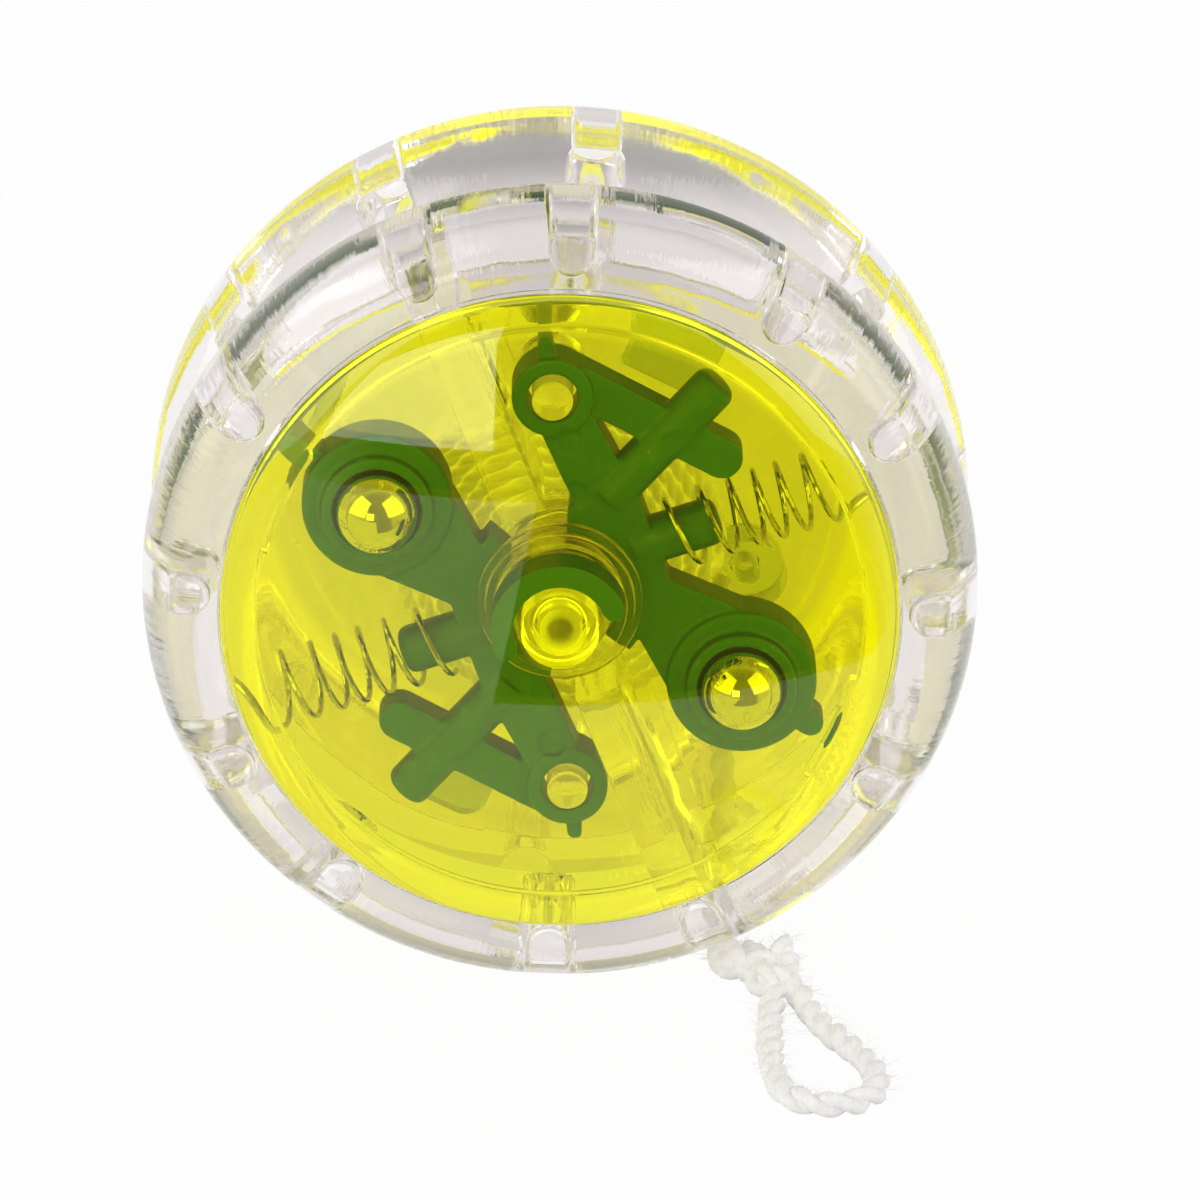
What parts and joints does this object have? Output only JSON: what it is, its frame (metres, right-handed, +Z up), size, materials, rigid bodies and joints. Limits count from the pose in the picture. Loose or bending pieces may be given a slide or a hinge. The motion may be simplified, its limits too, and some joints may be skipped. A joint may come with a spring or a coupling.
{
  "type": "clutch yo-yo",
  "caption": "Clear yo-yo with domed yellow caps; sprung arms carrying steel balls clutch its string spool, and its cotton string ends in a finger loop.",
  "frame": {"origin": "on the table under the middle of the string gap, where the yo-yo stands on its two rims", "axes": "+Y along the axle from the clutch cap to the rear cap, +Z up, +X to the right seen from the clutch cap"},
  "size_m": [0.0568, 0.0515, 0.0569],
  "materials": {
    "clear_plastic": "clear polished moulding",
    "yellow_plastic": "fluorescent see-through moulding",
    "green_plastic": "moulded satin",
    "natural_plastic": "moulded, uncoloured",
    "steel": "bright drawn steel",
    "polished_steel": "polished ball",
    "brass": "turned",
    "cotton": "twisted white cotton"
  },
  "bodies": {
    "body": {"front_shell": "clear_plastic", "rear_shell": "clear_plastic", "front_cap": "yellow_plastic", "rear_cap": "yellow_plastic", "axle": "steel", "axle_nut": "steel", "front_washer": "natural_plastic", "rear_washer": "natural_plastic", "clutch_spring_right": "steel", "clutch_spring_left": "steel"},
    "spool": {"spool": "clear_plastic", "spool_bush": "brass", "string_core": "cotton", "string_winding": "cotton", "string_tail": "cotton", "finger_knot": "cotton", "finger_loop": "cotton"},
    "right_arm": {"clutch_arm_right": "green_plastic", "ball_weight_right": "polished_steel"},
    "left_arm": {"clutch_arm_left": "green_plastic", "ball_weight_left": "polished_steel"}
  },
  "joints": [
    {"name": "spool_spin", "type": "hinge", "parent": "body", "child": "spool", "pos_m": [0, 0, 0.02844], "axis": [0, 1, 0], "continuous": true},
    {"name": "right_arm_swing", "type": "hinge", "parent": "body", "child": "right_arm", "pos_m": [-0.0005, -0.0085, 0.04254], "axis": [0, -1, 0], "range_deg": [0, 3.5], "stiffness_Nm_per_rad": 0.02, "springref_deg": -3.44, "deforming": ["clutch_spring_right"]},
    {"name": "left_arm_swing", "type": "hinge", "parent": "body", "child": "left_arm", "pos_m": [0.0005, -0.0085, 0.01434], "axis": [0, -1, 0], "range_deg": [0, 3.5], "stiffness_Nm_per_rad": 0.02, "springref_deg": -3.44, "deforming": ["clutch_spring_left"]}
  ]
}
